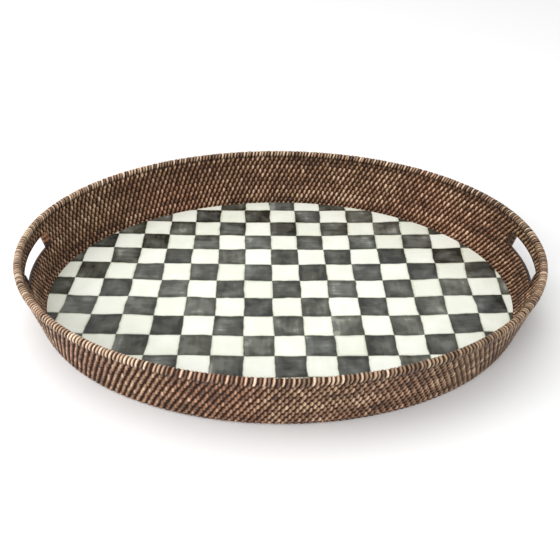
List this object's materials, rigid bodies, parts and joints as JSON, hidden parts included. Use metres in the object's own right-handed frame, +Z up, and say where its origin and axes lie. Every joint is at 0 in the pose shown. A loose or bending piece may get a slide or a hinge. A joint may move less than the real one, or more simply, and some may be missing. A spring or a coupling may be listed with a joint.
{
  "type": "coiled rattan tray",
  "caption": "Oval coiled-rattan serving tray with a flared stitched wall, a wrapped rim, a hand slot at each end and a glossy checked enamel floor panel.",
  "frame": {"origin": "on the ground, under the middle of the tray", "axes": "+X along the tray's length from one hand slot to the other, +Y across it, +Z up"},
  "size_m": [0.617, 0.4806, 0.0782],
  "materials": {
    "board_wood": "stained plywood, matte",
    "adhesive": "dried wood glue",
    "checked_enamel": "vitreous enamel on steel sheet, glossy, hand-painted charcoal and ivory check",
    "brad_steel": "bare wire brad",
    "rattan_rod": "round rattan core, stained dark",
    "wall_rattan_strip": "split rattan peel, stained dark brown, satin",
    "rim_rattan_strip": "split rattan peel, stained brown, satin, paler where worn",
    "slot_rattan_strip": "flat rattan peel, stained reddish brown, satin"
  },
  "bodies": {
    "root": {"adhesive_bed": "adhesive", "base_board": "board_wood", "board_brads": "brad_steel", "enamel_panel": "checked_enamel", "rim_core": "rattan_rod", "rim_wrap": "rim_rattan_strip", "slot_end_cap_left_back": "slot_rattan_strip", "slot_end_cap_left_front": "slot_rattan_strip", "slot_end_cap_right_back": "slot_rattan_strip", "slot_end_cap_right_front": "slot_rattan_strip", "slot_lintel_binding_left": "slot_rattan_strip", "slot_lintel_binding_right": "slot_rattan_strip", "slot_sill_binding_left": "slot_rattan_strip", "slot_sill_binding_right": "slot_rattan_strip", "wall_core_01": "rattan_rod", "wall_core_02": "rattan_rod", "wall_core_03": "rattan_rod", "wall_core_04": "rattan_rod", "wall_core_05": "rattan_rod", "wall_core_06": "rattan_rod", "wall_core_07": "rattan_rod", "wall_core_08_back": "rattan_rod", "wall_core_08_front": "rattan_rod", "wall_core_09_back": "rattan_rod", "wall_core_09_front": "rattan_rod", "wall_core_10_back": "rattan_rod", "wall_core_10_front": "rattan_rod", "wall_core_11": "rattan_rod", "wall_core_12": "rattan_rod", "wall_wrap_01": "wall_rattan_strip", "wall_wrap_02": "wall_rattan_strip", "wall_wrap_03": "wall_rattan_strip", "wall_wrap_04": "wall_rattan_strip", "wall_wrap_05": "wall_rattan_strip", "wall_wrap_06": "wall_rattan_strip", "wall_wrap_07": "wall_rattan_strip", "wall_wrap_08_back": "wall_rattan_strip", "wall_wrap_08_front": "wall_rattan_strip", "wall_wrap_09_back": "wall_rattan_strip", "wall_wrap_09_front": "wall_rattan_strip", "wall_wrap_10_back": "wall_rattan_strip", "wall_wrap_10_front": "wall_rattan_strip", "wall_wrap_11": "wall_rattan_strip", "wall_wrap_12": "wall_rattan_strip"}
  },
  "joints": []
}
